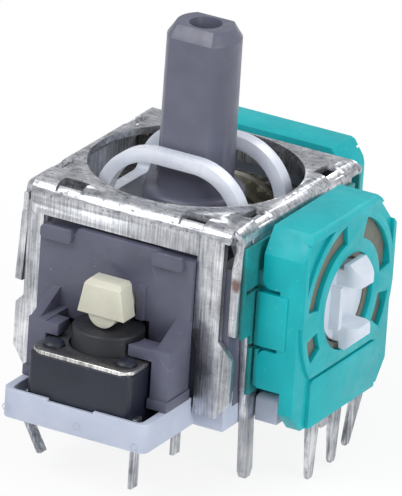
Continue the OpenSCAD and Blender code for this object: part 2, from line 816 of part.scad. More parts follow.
// Three soldering pins, tapered, that stand against the lower edge of the board
module pot_pins() {
    half = [0.65, 0.3];
    top = board_z[0] - 0.02;
    color(steel)
        for (i = [-1:1]) {
            lean = i > 0 ? -0.9 : 0;
            tip = -leg_drop + (i > 0 ? 0.6 : i < 0 ? 0.05 : 0.15);
            slab_x(pin_x[0], pin_x[1]) translate([i * pot_pitch, 0])
                polygon([
                    [-half[0], top], [-half[0], 0], [lean - half[1] - 0.05, tip + 0.25], [lean - 0.2, tip],
                    [lean + 0.2, tip], [lean + half[1] + 0.05, tip + 0.25], [half[0], 0], [half[0], top]
                ]);
        }
}

// The rear potentiometer is the right one turned a quarter turn
module at_rear() {
    rotate([0, 0, 90]) children();
}

module right_pot_cover() {
    pot_cover();
}

module right_pot_board() {
    pot_board();
}

module right_pot_rotor() {
    pot_rotor();
}

module right_pot_wiper() {
    pot_wiper();
}

module right_pot_pins() {
    pot_pins();
}

module rear_pot_cover() {
    at_rear() pot_cover();
}

module rear_pot_board() {
    at_rear() pot_board();
}

module rear_pot_rotor() {
    at_rear() pot_rotor();
}

module rear_pot_wiper() {
    at_rear() pot_wiper();
}

module rear_pot_pins() {
    at_rear() pot_pins();
}

// Places of the switch's four pins, the two on the left first
SWITCH_PINS = [
    for (x = [-3.25, 3.25], y = [-2.25, 2.25]) [switch_x + x, -switch_y + y]
];

// Centre of the switch
module at_switch() {
    translate([switch_x, -switch_y, 0]) children();
}

module switch_body() {
    h = switch_w / 2;
    color([0.23, 0.24, 0.29])
        at_switch()
        difference() {
            union() {
                translate([0, 0, switch_foot])
                    linear_extrude(switch_top - cover_t - switch_foot) rounded_rect([-h, -h], [h, h], 0.4);
                for (x = [-1, 1], y = [-1, 1])
                    translate([x * 2.2, y * 1.9, switch_top - cover_t - eps]) cylinder(h = cover_t + 0.15, r = 0.55);
            }
            translate([0, 0, switch_top - cover_t - 1]) cylinder(h = 2, r = 2.5);
        }
}

module switch_cover() {
    h = switch_w / 2 - 0.05;
    color([0.6, 0.6, 0.58])
        at_switch()
        translate([0, 0, switch_top - cover_t])
        difference() {
            linear_extrude(cover_t) rounded_rect([-h, -h], [h, h], 0.7);
            translate([0, 0, -1]) cylinder(h = 2, r = button_r + 0.1);
            for (x = [-1, 1], y = [-1, 1]) translate([x * 2.2, y * 1.9, -1]) cylinder(h = 2, r = 0.56);
        }
}

module switch_button() {
    flange_top = switch_top - cover_t - 0.05;
    color([0.16, 0.16, 0.18])
        at_switch() {
            translate([0, 0, flange_top - 0.25]) cylinder(h = 0.25, r = 2.35);
            translate([0, 0, flange_top - 0.1]) cylinder(h = button_top - 0.1 - flange_top + 0.1, r = button_r);
            translate([0, 0, button_top - 0.1]) cylinder(h = 0.1, r1 = button_r, r2 = button_r - 0.1);
        }
}

module switch_dome() {
    ball_r = 12;
    apex = switch_top - cover_t - 0.6;
    color(steel)
        at_switch()
        rotate_extrude()
        intersection() {
            translate([0, apex - 1]) square([2.35, 1]);
            translate([0, apex - ball_r])
                difference() {
                    circle(ball_r, $fn = 160);
                    circle(ball_r - 0.1, $fn = 160);
                }
        }
}

// Soldering pin of the switch. Its tapered tip leans sideways by a distance at a depth below the base.
module switch_pin(x, y, depth, lean) {
    side = x > switch_x ? 1 : -1;
    half_t = 0.12;
    translate([0, y, 0]) {
        slab_y(-0.35, 0.35)
            polygon([
                [x - half_t, 1.5], [x - half_t, -0.3], [x + lean - half_t, -depth], [x + lean + half_t, -depth],
                [x + half_t, -0.3], [x + half_t, 1.5]
            ]);
        block(
            [min(x, switch_x + side * switch_w / 2), -0.35, 1.2],
            [max(x, switch_x + side * switch_w / 2), 0.35, 1.5]
        );
    }
}

module switch_pins() {
    depth = [1.9, 2.1, 2.5, 2.1];
    lean = [0.9, 0.15, 0, 0];
    color(steel)
        for (i = [0:3]) switch_pin(SWITCH_PINS[i].x, SWITCH_PINS[i].y, depth[i], lean[i]);
}

frame();
base();
inner_housing();
stick();
pivot_pin();
upper_arch();
lower_arm();
return_dish();
return_spring();
right_pot_cover();
right_pot_board();
right_pot_rotor();
right_pot_wiper();
right_pot_pins();
rear_pot_cover();
rear_pot_board();
rear_pot_rotor();
rear_pot_wiper();
rear_pot_pins();
switch_body();
switch_cover();
switch_button();
switch_dome();
switch_pins();
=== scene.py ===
# %% [markdown]
# # An analog stick module from a game controller
# The part is a thumbstick on two crossed gimbals. A folded steel frame holds a dark inner housing,
# two teal potentiometers read the two tilts, and a small push switch sits in a tray at the front.
# The CAD model already has every piece at its real size. This script gives each piece its finish.
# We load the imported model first, and note its box, because the looks must not outgrow it.

# %% Load the frame
import json
import math

import bmesh
import bpy
from mathutils import Matrix, Vector


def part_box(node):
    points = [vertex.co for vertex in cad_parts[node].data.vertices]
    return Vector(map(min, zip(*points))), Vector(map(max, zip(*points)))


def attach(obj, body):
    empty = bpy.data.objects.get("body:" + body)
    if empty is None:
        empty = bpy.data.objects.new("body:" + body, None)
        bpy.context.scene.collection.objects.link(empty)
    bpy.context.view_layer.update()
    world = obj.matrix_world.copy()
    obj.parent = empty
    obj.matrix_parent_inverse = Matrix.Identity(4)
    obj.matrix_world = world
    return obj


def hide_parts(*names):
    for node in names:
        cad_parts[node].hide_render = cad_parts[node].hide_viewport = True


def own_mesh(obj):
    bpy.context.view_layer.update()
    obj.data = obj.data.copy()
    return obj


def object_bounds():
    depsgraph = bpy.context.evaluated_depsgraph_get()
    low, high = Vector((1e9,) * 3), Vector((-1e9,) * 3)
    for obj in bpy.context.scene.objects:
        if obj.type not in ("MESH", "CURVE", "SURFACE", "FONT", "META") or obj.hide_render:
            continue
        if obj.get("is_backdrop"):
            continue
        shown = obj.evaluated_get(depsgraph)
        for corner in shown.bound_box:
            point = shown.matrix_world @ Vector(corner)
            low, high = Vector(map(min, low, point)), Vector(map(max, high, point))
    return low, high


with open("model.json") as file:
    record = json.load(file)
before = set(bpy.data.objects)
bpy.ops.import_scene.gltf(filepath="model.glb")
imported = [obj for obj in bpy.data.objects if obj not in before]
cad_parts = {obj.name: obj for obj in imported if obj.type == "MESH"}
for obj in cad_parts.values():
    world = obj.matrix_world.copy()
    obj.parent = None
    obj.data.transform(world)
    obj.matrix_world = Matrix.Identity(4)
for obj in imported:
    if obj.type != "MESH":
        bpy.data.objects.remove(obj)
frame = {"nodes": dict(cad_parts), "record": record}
cad_low, cad_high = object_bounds()
MM = 0.001
bodies = frame["record"]["behaviour"]["bodies"]
body_of = {node: body for body, nodes in bodies.items() for node in nodes}
cad_size = [round((high - low) / MM, 2) for low, high in zip(cad_low, cad_high)]
print("nodes:", len(frame["nodes"]), "box in mm:", cad_size)

# %% [markdown]
# ## The camera
# The photograph's lines hardly converge, so this camera stands half a metre away with a long lens.
# We could place the camera by eye. Here its direction is worked out from three angles instead: how
# far it stands to the right of the front, how high it stands, and how far it leans. The point it is
# aimed by is the middle of the frame's top plate, whose place in the picture is known.

# %% Camera
AZIMUTH, ELEVATION, ROLL = (math.radians(a) for a in (27.755, 22.134, 3.881))
FOCAL_PX, PICTURE_PX = 9921.4, (402, 496)
DISTANCE = 530.8 * MM
PLATE_CENTRE = Vector((0, 0, 11.65 * MM))
PLATE_PX = (196.26, 165.47)

flat_back = Vector((math.sin(AZIMUTH), -math.cos(AZIMUTH), 0))
back = math.cos(ELEVATION) * flat_back + math.sin(ELEVATION) * Vector((0, 0, 1))
level = Vector((math.cos(AZIMUTH), math.sin(AZIMUTH), 0))
upright = back.cross(level)
right = math.cos(ROLL) * level + math.sin(ROLL) * upright
up = math.cos(ROLL) * upright - math.sin(ROLL) * level
sideways = (PLATE_PX[0] - PICTURE_PX[0] / 2) * DISTANCE / FOCAL_PX
upwards = (PICTURE_PX[1] / 2 - PLATE_PX[1]) * DISTANCE / FOCAL_PX

camera = bpy.data.objects.new("camera", bpy.data.cameras.new("camera"))
bpy.context.collection.objects.link(camera)
turn = Matrix((right, up, back)).transposed().to_4x4()
stand = PLATE_CENTRE - sideways * right - upwards * up + DISTANCE * back
camera.matrix_world = Matrix.Translation(stand) @ turn
camera.data.sensor_width = 36
camera.data.lens = FOCAL_PX / PICTURE_PX[1] * camera.data.sensor_width
camera.data.clip_start, camera.data.clip_end = 0.05, 20
bpy.context.scene.camera = camera
print("lens in mm:", round(camera.data.lens, 1), "camera at", [round(v, 4) for v in camera.location])

# %% [markdown]
# ## Light and floor
# The photograph is a catalogue picture: soft light from all sides and a white ground. A white ground
# must not come from more light, which would bleach the part. So a camera ray that meets the world sees
# white, and all other rays meet plain studio grey there. The floor is white to the camera, and to rays
# that leave a glossy or clear surface. A share of its real shading is kept, which shows the shadow.

# %% World and floor
scene = bpy.context.scene
scene.view_settings.view_transform = "Standard"


def seen_directly(tree):
    """Adds nodes that give 1 for rays that see a thing directly, in a mirror or through glass."""
    path = tree.nodes.new("ShaderNodeLightPath")
    total = path.outputs["Is Camera Ray"]
    for name in ("Is Glossy Ray", "Is Transmission Ray"):
        add = tree.nodes.new("ShaderNodeMath")
        add.operation = "MAXIMUM"
        tree.links.new(total, add.inputs[0])
        tree.links.new(path.outputs[name], add.inputs[1])
        total = add.outputs[0]
    return total


world = scene.world or bpy.data.worlds.new("studio")
scene.world = world
world.use_nodes = True
tree = world.node_tree
tree.nodes.clear()
shown, lighting = (tree.nodes.new("ShaderNodeBackground") for _ in range(2))
pick = tree.nodes.new("ShaderNodeMixShader")
shown.inputs["Color"].default_value = (1, 1, 1, 1)
lighting.inputs["Color"].default_value = (0.97, 0.98, 1, 1)
lighting.inputs["Strength"].default_value = 0.55
output = tree.nodes.new("ShaderNodeOutputWorld")
camera_path = tree.nodes.new("ShaderNodeLightPath")
tree.links.new(camera_path.outputs["Is Camera Ray"], pick.inputs[0])
tree.links.new(lighting.outputs[0], pick.inputs[1])
tree.links.new(shown.outputs[0], pick.inputs[2])
tree.links.new(pick.outputs[0], output.inputs["Surface"])

WHITE_SHARE = 0.86
floor_z = cad_low[2]
bpy.ops.mesh.primitive_plane_add(size=3, location=(0, 0, floor_z))
floor = bpy.context.object
floor.name = "floor"
floor_finish = bpy.data.materials.new("studio_floor")
floor_finish.use_nodes = True
tree = floor_finish.node_tree
tree.nodes.clear()
matt, white = tree.nodes.new("ShaderNodeBsdfDiffuse"), tree.nodes.new("ShaderNodeEmission")
pick = tree.nodes.new("ShaderNodeMixShader")
matt.inputs["Color"].default_value = (0.86, 0.86, 0.86, 1)
keep_white = tree.nodes.new("ShaderNodeMath")
keep_white.operation = "MULTIPLY"
keep_white.inputs[1].default_value = WHITE_SHARE
tree.links.new(seen_directly(tree), keep_white.inputs[0])
tree.links.new(keep_white.outputs[0], pick.inputs[0])
tree.links.new(matt.outputs[0], pick.inputs[1])
tree.links.new(white.outputs[0], pick.inputs[2])
output = tree.nodes.new("ShaderNodeOutputMaterial")
tree.links.new(pick.outputs[0], output.inputs["Surface"])
floor.data.materials.append(floor_finish)
floor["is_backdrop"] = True
print("floor at", round(floor_z / MM, 2), "mm")

# %% [markdown]
# The lamps are three large soft boxes: a key from the front left and above, a weaker one on the right
# that lights the potentiometer's face, and one behind that draws the edges of the steel.

# %% Lamps


def soft_box(name, place_mm, aim_mm, size_mm, watts):
    """Adds a square area lamp that faces a point."""
    light = bpy.data.lights.new(name, "AREA")
    light.shape = "SQUARE"
    light.size = size_mm * MM
    light.energy = watts
    lamp = bpy.data.objects.new(name, light)
    bpy.context.collection.objects.link(lamp)
    lamp.location = Vector(place_mm) * MM
    lamp.rotation_euler = (Vector(aim_mm) * MM - lamp.location).to_track_quat("-Z", "Y").to_euler()
    return lamp


MIDDLE = (0, 0, 8)  # in mm, the place all lamps are aimed at
soft_box("key_box", (-150, -260, 330), MIDDLE, 220, 1.0)
soft_box("right_box", (340, -120, 160), MIDDLE, 200, 0.6)
soft_box("rear_strip", (60, 300, 260), MIDDLE, 160, 0.42)
print("lamps:", len(bpy.data.lights))

# %% [markdown]
# ## Finishes
# Each finish is a small tree of nodes on one shader. Moulded plastic needs three things to look real
# up close: a colour that drifts a little from place to place, a roughness that does the same, and a
# fine bump from the tool that cut the mould. All of them read Object coordinates, which are metres
# here, so a noise scale of 2000 gives spots of about half a millimetre.

# %% Colours and patterns


def srgb(r, g, b):
    """Turns a colour as a screen shows it, 0 to 255, into the linear colour a shader wants."""
    return tuple(((c / 255 + 0.055) / 1.055) ** 2.4 if c > 10 else c / 255 / 12.92 for c in (r, g, b)) + (1,)


def shader_of(name):
    """Makes a material with one Principled shader and Object coordinates, and returns all three."""
    finish = bpy.data.materials.new(name)
    finish.use_nodes = True
    tree = finish.node_tree
    shader = tree.nodes["Principled BSDF"]
    place = tree.nodes.new("ShaderNodeTexCoord").outputs["Object"]
    return finish, tree, shader, place


def noise(tree, place, scale, detail=3, rough=0.55, stretch=None):
    """Adds a noise pattern and returns its grey output. A stretch makes it long one way."""
    if stretch:
        mapping = tree.nodes.new("ShaderNodeMapping")
        mapping.inputs["Scale"].default_value = stretch
        tree.links.new(place, mapping.inputs["Vector"])
        place = mapping.outputs[0]
    pattern = tree.nodes.new("ShaderNodeTexNoise")
    pattern.inputs["Scale"].default_value = scale
    pattern.inputs["Detail"].default_value = detail
    pattern.inputs["Roughness"].default_value = rough
    tree.links.new(place, pattern.inputs["Vector"])
    return pattern.outputs["Fac"]


def ramp(tree, value, stops):
    """Maps a grey value through colour stops, each (position, colour)."""
    node = tree.nodes.new("ShaderNodeValToRGB")
    while len(node.color_ramp.elements) < len(stops):
        node.color_ramp.elements.new(0.5)
    for element, (position, colour) in zip(node.color_ramp.elements, stops):
        element.position = position
        element.color = colour
    tree.links.new(value, node.inputs[0])
    return node.outputs["Color"]


def spread(tree, value, low, high):
    """Maps a noise value from its usual span to the span from low to high."""
    node = tree.nodes.new("ShaderNodeMapRange")
    node.inputs["From Min"].default_value = 0.3
    node.inputs["From Max"].default_value = 0.7
    node.inputs["To Min"].default_value = low
    node.inputs["To Max"].default_value = high
    tree.links.new(value, node.inputs["Value"])
    return node.outputs[0]


def bump(tree, shader, height, depth_mm, strength=0.5):
    """Lets a pattern raise the surface by a depth in millimetres."""
    node = tree.nodes.new("ShaderNodeBump")
    node.inputs["Distance"].default_value = depth_mm * MM
    node.inputs["Strength"].default_value = strength
    tree.links.new(height, node.inputs["Height"])
    tree.links.new(node.outputs[0], shader.inputs["Normal"])


print("a noise scale of 2000 gives spots of", 1 / 2000 / MM, "mm")

# %% [markdown]
# A plastic part is rarely one plain colour over all its surface. Every mould that is filled gives its
# own drift, so one function makes them all and takes two near colours. Pale plastics also let light
# creep a little way in, which softens their edges, and that is what the subsurface values are for.

# %% Plastic


def moulded(name, dark, light, roughness=0.42, grain_mm=0.01, soft_mm=0, gloss=0.5):
    """A moulded plastic between two near colours. soft_mm is how far light creeps inside it."""
    finish, tree, shader, place = shader_of(name)
    drift = ramp(tree, noise(tree, place, 420), [(0.3, dark), (0.7, light)])
    tree.links.new(drift, shader.inputs["Base Color"])
    rubbed = spread(tree, noise(tree, place, 1300), roughness - 0.07, roughness + 0.09)
    tree.links.new(rubbed, shader.inputs["Roughness"])
    bump(tree, shader, noise(tree, place, 5200, 5), grain_mm)
    shader.inputs["Specular IOR Level"].default_value = gloss
    if soft_mm:
        shader.inputs["Subsurface Weight"].default_value = 0.35
        shader.inputs["Subsurface Radius"].default_value = (1, 0.9, 0.8)
        shader.inputs["Subsurface Scale"].default_value = soft_mm * MM
    return finish


dark_plastic = moulded("dark_grey_plastic", srgb(87, 88, 104), srgb(98, 99, 116), 0.36)
housing_plastic = moulded("housing_plastic", srgb(82, 84, 101), srgb(93, 95, 113), 0.34)
teal_plastic = moulded("teal_plastic", srgb(8, 161, 169), srgb(14, 175, 181), 0.4, 0.008, 0.2, 0.3)
base_plastic = moulded("pale_base_plastic", srgb(178, 186, 204), srgb(190, 197, 214), 0.45, 0.01, 0.3)
milky_plastic = moulded("milky_arch_plastic", srgb(214, 220, 233), srgb(229, 233, 244), 0.25, 0.006, 0.8)
cream_plastic = moulded("cream_arm_plastic", srgb(196, 195, 178), srgb(208, 207, 192), 0.42, 0.01, 0.4)
rotor_plastic = moulded("white_rotor_plastic", srgb(198, 207, 219), srgb(212, 219, 229), 0.38, 0.008, 0.4)
switch_plastic = moulded("black_switch_plastic", srgb(26, 30, 43), srgb(35, 39, 54), 0.4)
button_plastic = moulded("black_button_plastic", srgb(26, 27, 32), srgb(48, 49, 55), 0.5, 0.02, 0, 0.45)
board_laminate = moulded("board_laminate", srgb(98, 102, 92), srgb(120, 119, 107), 0.55)
print("plastics:", len([m for m in bpy.data.materials if m.name.endswith("plastic")]))

# %% [markdown]
# Wear sits in certain places, so it needs masks: a value of 1 where the wear is and 0 elsewhere. The
# helpers below make one about a point, one along an axis, one of small spots and one of hairlines.
# overlay() then mixes a colour or a number over what the finish already has.

# %% Masks


def spot(tree, place, centre_mm, radius_mm, ragged=0.5):
    """A soft round mask about a point, 1 in its middle and 0 outside, with a ragged edge."""
    offset = tree.nodes.new("ShaderNodeVectorMath")
    offset.operation = "DISTANCE"
    offset.inputs[1].default_value = Vector(centre_mm) * MM
    tree.links.new(place, offset.inputs[0])
    wobble = tree.nodes.new("ShaderNodeMath")
    wobble.operation = "MULTIPLY_ADD"
    wobble.inputs[1].default_value = radius_mm * MM * ragged
    tree.links.new(noise(tree, place, 1500, 4, 0.7), wobble.inputs[0])
    tree.links.new(offset.outputs["Value"], wobble.inputs[2])
    fall = tree.nodes.new("ShaderNodeMapRange")
    fall.interpolation_type = "SMOOTHSTEP"
    fall.inputs["From Min"].default_value = radius_mm * MM * 1.2
    fall.inputs["From Max"].default_value = radius_mm * MM * 0.6
    tree.links.new(wobble.outputs[0], fall.inputs["Value"])
    return fall.outputs[0]


def between(tree, place, axis, low_mm, high_mm):
    """A mask that climbs from 0 at low_mm to 1 at high_mm along one axis."""
    parts = tree.nodes.new("ShaderNodeSeparateXYZ")
    tree.links.new(place, parts.inputs[0])
    climb = tree.nodes.new("ShaderNodeMapRange")
    climb.interpolation_type = "SMOOTHSTEP"
    climb.inputs["From Min"].default_value = low_mm * MM
    climb.inputs["From Max"].default_value = high_mm * MM
    tree.links.new(parts.outputs[axis], climb.inputs["Value"])
    return climb.outputs[0]


def times(tree, first, second):
    """The product of two masks."""
    node = tree.nodes.new("ShaderNodeMath")
    node.operation = "MULTIPLY"
    for socket, value in zip(node.inputs, (first, second)):
        if isinstance(value, (int, float)):
            socket.default_value = value
        else:
            tree.links.new(value, socket)
    return node.outputs[0]


def overlay(tree, shader, socket, mask, value, amount=1):
    """Mixes a colour or a number over what a shader's socket already has, where the mask is 1."""
    if amount != 1:
        mask = times(tree, mask, amount)
    colour = isinstance(value, tuple)
    node = tree.nodes.new("ShaderNodeMix")
    node.data_type = "RGBA" if colour else "FLOAT"
    below, above = (6, 7) if colour else (2, 3)
    if shader.inputs[socket].is_linked:
        tree.links.new(shader.inputs[socket].links[0].from_socket, node.inputs[below])
    else:
        node.inputs[below].default_value = shader.inputs[socket].default_value
    node.inputs[above].default_value = value
    tree.links.new(mask, node.inputs[0])
    tree.links.new(node.outputs[2 if colour else 0], shader.inputs[socket])


def specks(tree, place, scale, least, most):
    """A mask of small spots: 0 where a fine noise stays under least, 1 where it passes most."""
    node = tree.nodes.new("ShaderNodeMapRange")
    node.inputs["From Min"].default_value, node.inputs["From Max"].default_value = least, most
    tree.links.new(noise(tree, place, scale, 4, 0.6), node.inputs["Value"])
    return node.outputs[0]


def scratches(tree, place, scale, width, share=0.55):
    """A mask of thin curved lines, where a smooth noise crosses its middle value, here and there."""
    level = tree.nodes.new("ShaderNodeMath")
    level.operation = "COMPARE"
    level.inputs[1].default_value, level.inputs[2].default_value = 0.5, width
    tree.links.new(noise(tree, place, scale, 0), level.inputs[0])
    return times(tree, level.outputs[0], specks(tree, place, scale * 1.7, share, share + 0.08))


def tree_of(finish):
    """The tree, the shader and the Object coordinates of a finish made above."""
    tree = finish.node_tree
    return tree, tree.nodes["Principled BSDF"], tree.nodes["Texture Coordinate"].outputs["Object"]


print("patterns in a plastic:", sum(n.type == "TEX_NOISE" for n in tree_of(dark_plastic)[0].nodes))

# %% [markdown]
# Handling leaves its marks on every moulding: hairline scratches, and dust in small spots all over.
# Both are masks laid over the colour. A scratch is the line where a smooth noise passes its middle
# value, which gives long curved hairs, and a second noise breaks them up.

# %% Scratches and dust
marks_of = (
    (switch_plastic, srgb(120, 124, 138), 0.7, srgb(90, 94, 104), 0.5),
    (housing_plastic, srgb(150, 152, 166), 0.4, srgb(160, 162, 174), 0.5),
    (dark_plastic, srgb(140, 142, 156), 0.3, srgb(160, 162, 174), 0.3),
    (teal_plastic, srgb(120, 205, 205), 0.3, srgb(190, 225, 225), 0.6),
    (base_plastic, srgb(140, 146, 160), 0.35, srgb(120, 126, 140), 0.3),
    (button_plastic, srgb(110, 112, 118), 0.4, srgb(104, 106, 112), 0.7),
)
for finish, hair, hair_amount, dust, dust_amount in marks_of:
    tree, shader, place = tree_of(finish)
    overlay(tree, shader, "Base Color", scratches(tree, place, 240, 0.0022), hair, hair_amount)
    overlay(tree, shader, "Base Color", specks(tree, place, 3800, 0.69, 0.73), dust, dust_amount)
print("marked finishes:", len(marks_of))

# %% [markdown]
# The back edge of each teal cover, where it is clamped under the steel and lies in its shade, is
# painted darker: painted shade, broken up by a patchy noise. The right cover's back edge faces -X and
# the rear one's faces -Y, so the larger of the two coordinates serves for both.

# %% Painted shade on the back edge of the covers
SHADED_UP_TO, UNSHADED_FROM = 7.0, 7.25
tree, shader, place = tree_of(teal_plastic)
parts, larger = tree.nodes.new("ShaderNodeSeparateXYZ"), tree.nodes.new("ShaderNodeMath")
larger.operation = "MAXIMUM"
tree.links.new(place, parts.inputs[0])
tree.links.new(parts.outputs["X"], larger.inputs[0])
tree.links.new(parts.outputs["Y"], larger.inputs[1])
edge = tree.nodes.new("ShaderNodeMapRange")
edge.inputs["From Min"].default_value = UNSHADED_FROM * MM
edge.inputs["From Max"].default_value = SHADED_UP_TO * MM
tree.links.new(larger.outputs[0], edge.inputs["Value"])
patchy_noise = spread(tree, noise(tree, place, 700, 5, 0.7), 0.45, 1.0)
# Painted shade: a darker teal where the back edge lies in the steel's shade.
overlay(tree, shader, "Base Color", times(tree, edge.outputs[0], patchy_noise), srgb(40, 112, 112))
print("painted_shade up to", SHADED_UP_TO, "mm from the stick")

# %% [markdown]
# The gimbals run in grease. On the real part it has gone olive, and it shows inside the round opening
# as a dark wet coat with bright glints. The glints come partly from its low roughness and partly from
# pale specks painted into its colour, which are painted highlights. Painting each face by hand would
# be one way. A mask is simpler: the same plastic turns olive and glossy behind the front wall. On the
# cream arm it does so only to the right of the stem, and on the housing only near the top of its
# walls. The stick's collar has a clear glossy coat, and a few pale specks painted on it as glints.

# %% Grease inside
GREASE = srgb(84, 80, 58)
X, Y, Z = range(3)
for finish, axis, low, high, floor_mm, amount in (
    (cream_plastic, X, -0.6, 1.2, 0, 0.85),
    (housing_plastic, Y, -6.2, -5.7, 7.6, 0.6),
):
    tree, shader, place = tree_of(finish)
    patchy_noise = noise(tree, place, 900, 4, 0.7)
    inside = times(tree, between(tree, place, axis, low, high), between(tree, place, Y, -6.2, -5.4))
    inside = times(tree, inside, between(tree, place, Z, floor_mm, floor_mm + 0.6))
    wet = times(tree, inside, amount)
    overlay(tree, shader, "Base Color", wet, GREASE)
    glint = times(tree, wet, spread(tree, patchy_noise, 0.2, 1.0))
    overlay(tree, shader, "Roughness", glint, 0.12)
    # Pale specks painted into the wet colour are painted glints. The low roughness above is the real gloss.
    painted_glint_specks = times(tree, wet, specks(tree, place, 1900, 0.58, 0.64))
    overlay(tree, shader, "Base Color", painted_glint_specks, srgb(196, 192, 168), 0.8)
tree, shader, place = tree_of(dark_plastic)
collar = times(tree, between(tree, place, Z, 7.0, 7.6), between(tree, place, Z, 10.4, 9.4))
overlay(tree, shader, "Roughness", times(tree, collar, specks(tree, place, 800, 0.42, 0.55)), 0.1)
# Pale specks painted on the collar are painted glints on its glossy coat.
painted_glint_drops = times(tree, collar, specks(tree, place, 2100, 0.64, 0.68))
overlay(tree, shader, "Base Color", painted_glint_drops, srgb(190, 192, 200))
print("greased:", cream_plastic.name, housing_plastic.name, dark_plastic.name)

# %% [markdown]
# Steel is the finish that makes or breaks this part. The sheet was rolled, punched and folded, so it
# has long fine streaks along the roll, blotches where the plating is thin, and bright rubbed places.
# The lighter finish on its edges is partly that rubbing and partly a painted highlight.
# Two noises are used: one stretched up to thirtyfold for the streaks, and a broad one for the blotches.
# On the top plate the streaks give way to a grain drawn out along X.

# %% Steel


def rolled_steel(name, dark, mid, light, rough=0.34, fine=9, contrast=0.09, top_mm=None):
    """Plated sheet steel with fine upright streaks, and from top_mm up a grain drawn out along X."""
    finish, tree, shader, place = shader_of(name)
    streaks = noise(tree, place, 1000, 5, 0.7, (fine, fine, 0.3))
    if top_mm is not None:
        along_x = noise(tree, place, 1000, 5, 0.75, (1.6, 3.6, 3.6))
        pick = tree.nodes.new("ShaderNodeMix")
        tree.links.new(between(tree, place, Z, top_mm - 0.5, top_mm), pick.inputs["Factor"])
        tree.links.new(streaks, pick.inputs["A"])
        tree.links.new(along_x, pick.inputs["B"])
        streaks = pick.outputs[0]
    blotches = noise(tree, place, 480, 5, 0.65)
    blend = tree.nodes.new("ShaderNodeMix")
    blend.inputs["Factor"].default_value = 0.45
    tree.links.new(streaks, blend.inputs["A"])
    tree.links.new(blotches, blend.inputs["B"])
    stops = [(0.5 - contrast, dark), (0.5, mid), (0.5 + contrast, light)]
    tree.links.new(ramp(tree, blend.outputs[0], stops), shader.inputs["Base Color"])
    tree.links.new(spread(tree, blotches, rough + 0.1, rough - 0.08), shader.inputs["Roughness"])
    shader.inputs["Metallic"].default_value = 0.92
    bump(tree, shader, streaks, 0.012, 0.5)
    return finish


TOP_GRAIN_Z = 11.2
sheet_look = {"fine": 9, "contrast": 0.13, "top_mm": TOP_GRAIN_Z}
sheet_tones = srgb(122, 125, 132), srgb(196, 198, 203), srgb(244, 245, 248)
# The edge tones are lighter: partly rubbing, partly a painted highlight.
edge_rubbing_and_highlight_tones = srgb(168, 170, 175), srgb(222, 223, 226), srgb(250, 250, 251)
pin_tones = srgb(118, 121, 127), srgb(172, 175, 181), srgb(224, 226, 229)
cover_tones = srgb(150, 150, 148), srgb(205, 205, 202), srgb(240, 240, 238)
brass_tones = srgb(150, 120, 60), srgb(190, 158, 90), srgb(220, 190, 120)
frame_steel = rolled_steel("frame_steel", *sheet_tones, 0.36, **sheet_look)
rubbed_and_highlit_steel = rolled_steel("rubbed_and_highlit_steel_edge", *edge_rubbing_and_highlight_tones, 0.3, **sheet_look)
pin_steel = rolled_steel("pin_steel", *pin_tones, 0.36, 6)
cover_steel = rolled_steel("switch_cover_steel", *cover_tones, 0.25, 6)
contact_brass = rolled_steel("contact_brass", *brass_tones, 0.3, 4)
print("metals:", len([m for m in bpy.data.materials if "steel" in m.name or "brass" in m.name]))

# %% [markdown]
# The press and the handling have marked the frame: dark pits, most of them on the top plate, a scrape
# here and there, a dark stain by the right foot, and a touch of rust on the right corner strip. The
# steel is also darker towards the bottom, below 0.6 mm. Each mark is one mask laid over the steel,
# and the pits and scrapes come from noise.

# %% Marks on the frame
STAIN, RUST = (4.9, -7.1, 3.5), (6.5, -6.9, 8.6)
for finish in (frame_steel, rubbed_and_highlit_steel):
    tree, shader, place = tree_of(finish)
    share = spread(tree, between(tree, place, Z, 10.4, TOP_GRAIN_Z), 0.22, 0.7)
    pits = times(tree, specks(tree, place, 3400, 0.57, 0.67), share)
    overlay(tree, shader, "Base Color", pits, srgb(84, 85, 90))
    overlay(tree, shader, "Roughness", pits, 0.6)
    # The steel turns darker towards the bottom, below 0.6 mm.
    overlay(tree, shader, "Base Color", between(tree, place, Z, 0.6, 0.2), srgb(140, 144, 150), 0.5)
tree, shader, place = tree_of(frame_steel)
scrapes = scratches(tree, place, 420, 0.0035, 0.48)
overlay(tree, shader, "Base Color", scrapes, srgb(112, 111, 112), 0.5)
overlay(tree, shader, "Base Color", spot(tree, place, STAIN, 1.1, 0.9), srgb(112, 118, 128), 0.6)
overlay(tree, shader, "Base Color", spot(tree, place, RUST, 0.75, 0.8), srgb(108, 68, 60), 0.85)
print("stain at", STAIN, "rust at", RUST)

# %% [markdown]
# The switch's thin steel cover is bright on its folded edge and painted darker on top, with a mottled
# grey over it: the dark top is painted shade, picked out by the direction each face points. The
# surface's own direction tells the two apart: on top its normal points up.

# %% Switch cover
tree, shader, place = tree_of(cover_steel)
facing = tree.nodes.new("ShaderNodeSeparateXYZ")
tree.links.new(tree.nodes.new("ShaderNodeNewGeometry").outputs["Normal"], facing.inputs[0])
flat = tree.nodes.new("ShaderNodeMapRange")
flat.inputs["From Min"].default_value, flat.inputs["From Max"].default_value = 0.8, 0.97
tree.links.new(facing.outputs["Z"], flat.inputs["Value"])
# Painted shade: the faces that point up get a darker grey.
painted_dark_top = times(tree, flat.outputs[0], spread(tree, noise(tree, place, 900, 5, 0.7), 0.75, 1.0))
mottle = times(tree, flat.outputs[0], specks(tree, place, 2400, 0.6, 0.68))
overlay(tree, shader, "Base Color", painted_dark_top, srgb(104, 104, 109))
overlay(tree, shader, "Roughness", flat.outputs[0], 0.45)
overlay(tree, shader, "Base Color", mottle, srgb(150, 150, 152))
print("nodes in the cover's finish:", len(tree.nodes))

